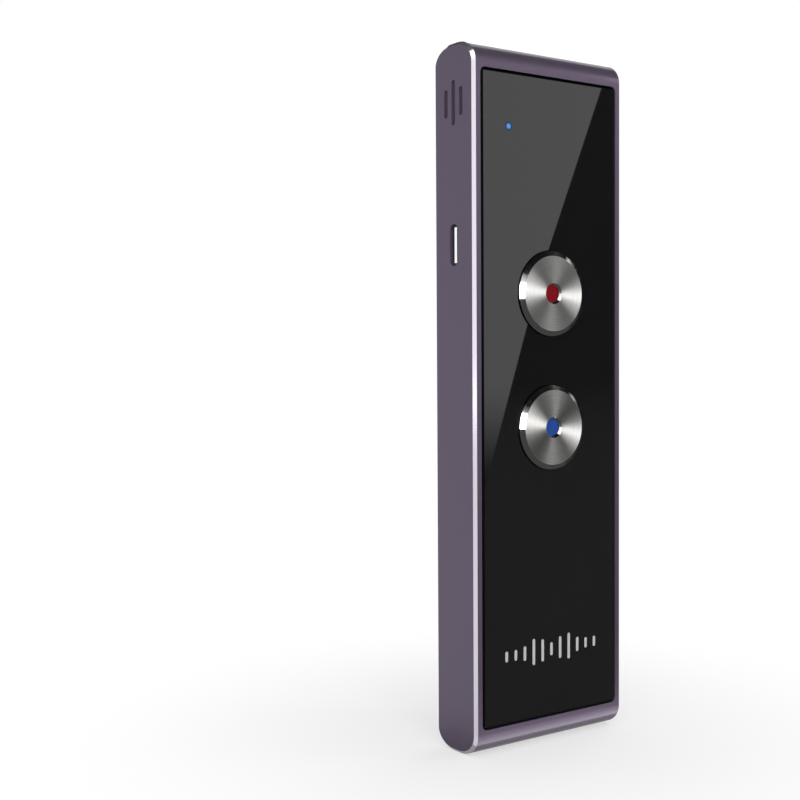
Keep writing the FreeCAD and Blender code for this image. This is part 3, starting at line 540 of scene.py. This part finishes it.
# Side keys: the power key and the volume rocker are milled from the housing's aluminium, dyed
# with it and cut bright round the edge. Behind them a steel bracket carries their switches.
KEY_EDGE_TURN = 0.68
KEY_EDGE_PLAY = 0.27
KEY_EDGE_ROUGHNESS = 0.15
dress(grained("bracket_steel", (0.5, 0.5, 0.51, 1.0), roughness=0.35, bump=0.1, Metallic=1.0),
      "side_key_bracket")
dress(grained("side_plunger_plastic", (0.06, 0.06, 0.062, 1.0), roughness=0.5, bump=0.1),
      "power_plunger", "volume_plungers")
key_metal = grained("key_metal", HOUSING_COLOR, roughness=0.5, bump=BLAST_BUMP,
                    grain=BLAST_GRAIN, change=DYE_CHANGE, Metallic=HOUSING_METALLIC,
                    Coat_Weight=0.4, Coat_Roughness=0.05)
tree = key_metal.node_tree
rounded = math_node(tree, "COMPARE", surface_turn(tree)["X"], KEY_EDGE_TURN, KEY_EDGE_PLAY)
two_finishes(key_metal, rounded, BRIGHT_EDGE_COLOR, KEY_EDGE_ROUGHNESS)
dress(key_metal, "power_key", "volume_rocker")

# Front panel: a plate of black acrylic with a hard gloss coat, cut with two button holes and
# the hole of the status light, and glued into the housing. A black border is printed round it,
# and a row of plain bars stands where a name would be.
PANEL_BORDER = 0.58 * MM
PANEL_COLOR = (0.0062, 0.0062, 0.0063, 1.0)
PANEL_ROUGHNESS = 0.012
BORDER_COLOR = (0.004, 0.0035, 0.0045, 1.0)
BORDER_ROUGHNESS = 0.6
BAR_COUNT = 11
BAR_PITCH = 2.4 * MM
BAR_WIDTH = 0.7 * MM
BAR_LEAST = 1.6 * MM
BAR_MOST = 6.2 * MM
BAR_WAVES = 3
BAR_WAVE_SHARE = 0.38
BARS_Z = -51.5 * MM
INK_THICK = 0.012 * MM
panel_low, panel_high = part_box("front_panel")
panel_black = grained("black_panel", PANEL_COLOR, PANEL_ROUGHNESS, bump=0.0, grain=0.4 * MM,
                      change=0.15, gloss_change=0.006, cloud_size=20 * MM, IOR=1.8)
tree = panel_black.node_tree
spot = surface_place(tree)
rim_x = math_node(tree, "GREATER_THAN", math_node(tree, "ABSOLUTE", spot["X"]),
                  panel_high.x - PANEL_BORDER)
rim_z = math_node(tree, "GREATER_THAN", math_node(tree, "ABSOLUTE", spot["Z"]),
                  panel_high.z - PANEL_BORDER)
border = math_node(tree, "MAXIMUM", rim_x, rim_z)
two_finishes(panel_black, border, BORDER_COLOR, BORDER_ROUGHNESS)
tree.links.new(border, tree.nodes["Principled BSDF"].inputs["Metallic"])
dress(panel_black, "front_panel")

bars = bmesh.new()
# Each bar is stood up with its length along Z and its thickness towards the front
stand = Matrix(((1, 0, 0), (0, 0, -1), (0, 1, 0))).to_4x4()
for index in range(BAR_COUNT):
    share = (index + 0.5) / BAR_COUNT
    wave = 1.0 - BAR_WAVE_SHARE + BAR_WAVE_SHARE * math.cos(BAR_WAVES * math.tau * share)
    bar_length = BAR_LEAST + (BAR_MOST - BAR_LEAST) * math.sin(math.pi * share) * wave
    middle = Vector(((index - (BAR_COUNT - 1) / 2) * BAR_PITCH, panel_low.y, BARS_Z))
    pill(bars, BAR_WIDTH, bar_length, INK_THICK, Matrix.Translation(middle) @ stand)
ink = grained("printed_ink", (0.42, 0.42, 0.43, 1.0), roughness=0.4, bump=0.1,
              grain=0.15 * MM, change=0.06)
new_piece("panel_print", bars, ink)

# Floor, backdrop and lamps: a white floor that keeps the shadow, and a white surround. Cards
# that only gloss and metal see give the reflections of a product studio, and five softboxes
# light the object. Their sizes and places are in metres.
FLOOR_Z = -71.05 * MM
FLOOR_REACH = 6.0
SHADOW_RADII = (0.01, 0.1)
SHADOW_WHITE = 0.55
SURROUND_LIGHT = 0.5
WHITE = (1.0, 1.0, 1.0, 1.0)
ON_FLOOR = (1.0, 1.0, 0.0)


def flat_sheet(name, corners):
    """A single face through the given corners."""
    sheet = bmesh.new()
    sheet.faces.new([sheet.verts.new(corner) for corner in corners])
    thing = new_object(name, sheet)
    return thing


def level_sheet(name, left, right, front, back, height):
    """A level rectangle."""
    return flat_sheet(name, [(left, front, height), (right, front, height),
                             (right, back, height), (left, back, height)])


def only_in_reflections(thing):
    """A studio card that shows in gloss and metal, and hides nothing from lamps or camera."""
    thing.visible_camera = False
    thing.visible_diffuse = False
    thing.visible_shadow = False
    thing.visible_transmission = False
    thing.visible_volume_scatter = False


def seen_white(tree):
    """1 where the camera, a gloss or a clear piece looks, and 0 where light is gathered."""
    rays = add(tree, "ShaderNodeLightPath").outputs
    seen = math_node(tree, "MAXIMUM", rays["Is Camera Ray"], rays["Is Glossy Ray"])
    return math_node(tree, "MAXIMUM", seen, rays["Is Transmission Ray"])


floor = level_sheet("floor", -FLOOR_REACH, FLOOR_REACH, -FLOOR_REACH, FLOOR_REACH, FLOOR_Z)
floor_paint = new_material("floor_paint", Base_Color=(0.9, 0.9, 0.9, 1.0), Roughness=0.9,
                           Specular_IOR_Level=0.0)
tree = floor_paint.node_tree
away = length_of(tree, flat_offset(tree, (0.0, 0.0, 0.0), ON_FLOOR))
white_share = math_node(tree, "MULTIPLY", seen_white(tree),
                        ramp(tree, away, *SHADOW_RADII, SHADOW_WHITE, 1.0))
white = add(tree, "ShaderNodeEmission", {"Color": WHITE, "Strength": 1.0})
paint = add(tree, "ShaderNodeMixShader", {0: white_share,
                                          1: tree.nodes["Principled BSDF"].outputs[0],
                                          2: white.outputs[0]})
tree.links.new(paint.outputs[0], tree.nodes["Material Output"].inputs["Surface"])
floor.data.materials.append(floor_paint)

world = bpy.data.worlds.new("studio")
bpy.context.scene.world = world
world.use_nodes = True
tree = world.node_tree
tree.nodes.clear()
soft = add(tree, "ShaderNodeBackground", {"Color": WHITE, "Strength": SURROUND_LIGHT})
backdrop = add(tree, "ShaderNodeBackground", {"Color": WHITE, "Strength": 1.0})
mixed = add(tree, "ShaderNodeMixShader", {0: seen_white(tree), 1: soft.outputs[0],
                                          2: backdrop.outputs[0]})
add(tree, "ShaderNodeOutputWorld", {"Surface": mixed.outputs[0]})


def glowing(name, strength, color=WHITE):
    """A card's finish: no gloss and no colour but an even glow."""
    return new_material(name, Base_Color=(0, 0, 0, 1), Roughness=1.0, Specular_IOR_Level=0.0,
                        Emission_Color=color, Emission_Strength=strength)


# A dark dome stands for the unlit room behind the camera and above, open towards the backdrop
ROOM_RADIUS = 3.0
ROOM_COLOR = (0.008, 0.008, 0.009, 1.0)
OPENING_FROM_Y = 0.65
OPENING_SLOPE = 0.6
RIGHT_OPENING_SLOPE = 3.0
RIGHT_OPENING_FROM = 0.55


def is_open(middle):
    """Whether a face of the dome is left out: low behind the object, and higher on its right."""
    low = middle.z < OPENING_SLOPE * middle.y
    right_side = middle.x > RIGHT_OPENING_FROM * middle.y
    return middle.y > OPENING_FROM_Y and (
        low or (right_side and middle.z < RIGHT_OPENING_SLOPE * middle.y))


dome = bmesh.new()
bmesh.ops.create_uvsphere(dome, u_segments=48, v_segments=24, radius=ROOM_RADIUS)
opening = [face for face in dome.faces if is_open(face.calc_center_median())]
bmesh.ops.delete(dome, geom=opening, context="FACES")
dark_room = new_object("dark_room", dome)
only_in_reflections(dark_room)
dark_room.data.materials.append(glowing("room_paint", 1.0, ROOM_COLOR))

# A white card to the right of the camera gives the panel its slanted reflection, which fades
# out downwards, and more slowly upwards
CARD_Y = -0.4128
CARD_LEFT_X = 0.2
CARD_EDGE = ((0.303, -0.08), (0.3178, -0.038), (0.3388, 0.023), (0.357, 0.072), (0.403, 0.1784),
             (0.49, 0.38))
CARD_GLOW = 0.74
CARD_FADE_IN = (-0.075, -0.005)
CARD_FADE_OUT = (0.185, 0.38)
card = flat_sheet("white_card", [(CARD_LEFT_X, CARD_Y, CARD_EDGE[0][1])]
                  + [(x, CARD_Y, z) for x, z in CARD_EDGE]
                  + [(CARD_LEFT_X, CARD_Y, CARD_EDGE[-1][1])])
only_in_reflections(card)
card_paint = bpy.data.materials.new("card_paint")
card_paint.use_nodes = True
tree = card_paint.node_tree
tree.nodes.clear()
height = surface_place(tree)["Z"]
strength = math_node(tree, "MULTIPLY", ramp(tree, height, *CARD_FADE_IN, 0.0, CARD_GLOW),
                     ramp(tree, height, *CARD_FADE_OUT, 1.0, 0.0))
glow = add(tree, "ShaderNodeEmission", {"Color": WHITE, "Strength": strength})
add(tree, "ShaderNodeOutputMaterial", {"Surface": glow.outputs[0]})
card.data.materials.append(card_paint)

# A white card behind on the right gives the back its slanted reflection, seen from behind
BACK_CARD_Y = 0.1
BACK_CARD_RIGHT_X = 0.2
BACK_CARD_FOOT = (0.1465, -0.071)
BACK_CARD_TOP = (0.0478, 0.15)
back_card = flat_sheet("back_card", [(BACK_CARD_FOOT[0], BACK_CARD_Y, BACK_CARD_FOOT[1]),
                                     (BACK_CARD_RIGHT_X, BACK_CARD_Y, BACK_CARD_FOOT[1]),
                                     (BACK_CARD_RIGHT_X, BACK_CARD_Y, BACK_CARD_TOP[1]),
                                     (BACK_CARD_TOP[0], BACK_CARD_Y, BACK_CARD_TOP[1])])
only_in_reflections(back_card)
back_card.data.materials.append(glowing("back_card_paint", 3.0))

# Cards on the floor: a black one on the right, and for the lower rounding a bright strip in
# front of the foot and a dim grey one under it
CLOTH_Z = FLOOR_Z + 0.4 * MM
UNDER_Z = FLOOR_Z + 0.02 * MM
RIGHT_CLOTH_LEFT = 0.045
RIGHT_CLOTH_FRONT = -0.0205
right_cloth = flat_sheet("right_cloth", [(RIGHT_CLOTH_LEFT, RIGHT_CLOTH_FRONT, CLOTH_Z),
                                         (FLOOR_REACH, RIGHT_CLOTH_FRONT, CLOTH_Z),
                                         (FLOOR_REACH, 4.2, CLOTH_Z),
                                         (RIGHT_CLOTH_LEFT, 0.012, CLOTH_Z)])
foot_strip = level_sheet("foot_strip", -0.019, RIGHT_CLOTH_LEFT, RIGHT_CLOTH_FRONT, -0.0128,
                         UNDER_Z)
foot_shade = level_sheet("foot_shade", -0.03, 0.03, -0.0127, 0.008, UNDER_Z)
for sheet, strength in ((right_cloth, 0.01), (foot_strip, 2.2), (foot_shade, 0.35)):
    only_in_reflections(sheet)
    sheet.data.materials.append(glowing(sheet.name + "_paint", strength))

# In front a dark cloth, darker with its distance, which turns white past a slanted line on
# the left
FRONT_CLOTH_BACK = -0.021
CLOTH_SLANT = 0.9
CLOTH_EDGE = (-0.014, 0.01)
CLOTH_DISTANCES = (0.1, 2.2)
NEAR_CLOTH_COLOR = (0.07, 0.07, 0.07, 1.0)
cloth = level_sheet("front_cloth", -FLOOR_REACH, FLOOR_REACH, -FLOOR_REACH, FRONT_CLOTH_BACK,
                    CLOTH_Z)
only_in_reflections(cloth)
cloth_paint = glowing("front_cloth_paint", 1.0)
tree = cloth_paint.node_tree
spot = surface_place(tree)
distance = math_node(tree, "MULTIPLY", spot["Y"], -1.0)
aside = math_node(tree, "MULTIPLY_ADD", spot["X"], CLOTH_SLANT, distance)
dark = blend_color(tree, ramp(tree, distance, *CLOTH_DISTANCES), NEAR_CLOTH_COLOR, ROOM_COLOR)
tree.links.new(blend_color(tree, ramp(tree, aside, *CLOTH_EDGE), WHITE, dark),
               tree.nodes["Principled BSDF"].inputs["Emission Color"])
cloth.data.materials.append(cloth_paint)

# A bright card in front throws the fans on the turned caps, and a dimmer one high up behind
# the camera widens them
front_card = flat_sheet("front_card", [(-0.425, -0.928, -0.07), (-0.125, -1.012, -0.07),
                                       (-0.125, -1.012, 0.3), (-0.425, -0.928, 0.3)])
only_in_reflections(front_card)
front_card.data.materials.append(glowing("front_card_paint", 11.0))
high_card = flat_sheet("high_card", [(-0.95, -0.5, 0.4), (-0.5, -0.95, 0.4),
                                     (-0.3, -0.7, 1.1), (-0.7, -0.3, 1.1)])
only_in_reflections(high_card)
high_card.data.materials.append(glowing("high_card_paint", 1.6))


def softbox(name, place, width, height, watts):
    """A rectangular area lamp turned towards the origin, on the object's back."""
    lamp = bpy.data.lights.new(name, "AREA")
    lamp.shape = "RECTANGLE"
    lamp.size = width
    lamp.size_y = height
    lamp.energy = watts
    holder = bpy.data.objects.new(name, lamp)
    bpy.context.scene.collection.objects.link(holder)
    facing = Vector(place).to_track_quat("Z", "Y").to_matrix().to_4x4()
    holder.matrix_world = Matrix.Translation(place) @ facing
    holder.visible_camera = False


softbox("key_softbox", (-0.82, -0.92, 0.2), width=1.1, height=1.2, watts=5.2)
softbox("front_strip", (-0.28, -0.97, 0.07), width=0.28, height=0.5, watts=4.2)
softbox("upper_key", (-0.5, -0.44, 0.75), width=0.6, height=0.5, watts=1.3)
softbox("back_softbox", (1.0, 0.35, 0.25), width=0.7, height=0.7, watts=4.0)
softbox("right_softbox", (0.75, -0.6, 0.42), width=0.25, height=0.3, watts=1.5)

# Camera: stands in front to the left of the object and a little above its middle, and looks
# past it to the left, so that the object stands in the right half of the picture.
CAMERA_PLACE = Vector((-174.06, -206.53, 9.92)) * MM
CAMERA_LENS = 56.84
SENSOR_WIDTH = 36.0
NEAREST = 10 * MM
YAW = math.radians(35.114)
PITCH = math.radians(2.181)
ROLL = math.radians(-0.352)
ahead = Vector((math.sin(YAW) * math.cos(PITCH), math.cos(YAW) * math.cos(PITCH),
                -math.sin(PITCH)))
level_right = Vector((math.cos(YAW), -math.sin(YAW), 0))
level_up = level_right.cross(ahead)
right = math.cos(ROLL) * level_right + math.sin(ROLL) * level_up
up = math.cos(ROLL) * level_up - math.sin(ROLL) * level_right
camera_data = bpy.data.cameras.new("camera")
camera_data.lens = CAMERA_LENS
camera_data.sensor_width = SENSOR_WIDTH
camera_data.clip_start = NEAREST
camera = bpy.data.objects.new("camera", camera_data)
bpy.context.scene.collection.objects.link(camera)
turned = Matrix((right, up, -ahead)).transposed().to_4x4()
camera.matrix_world = Matrix.Translation(CAMERA_PLACE) @ turned
bpy.context.scene.camera = camera
bpy.context.scene.view_settings.view_transform = "Standard"
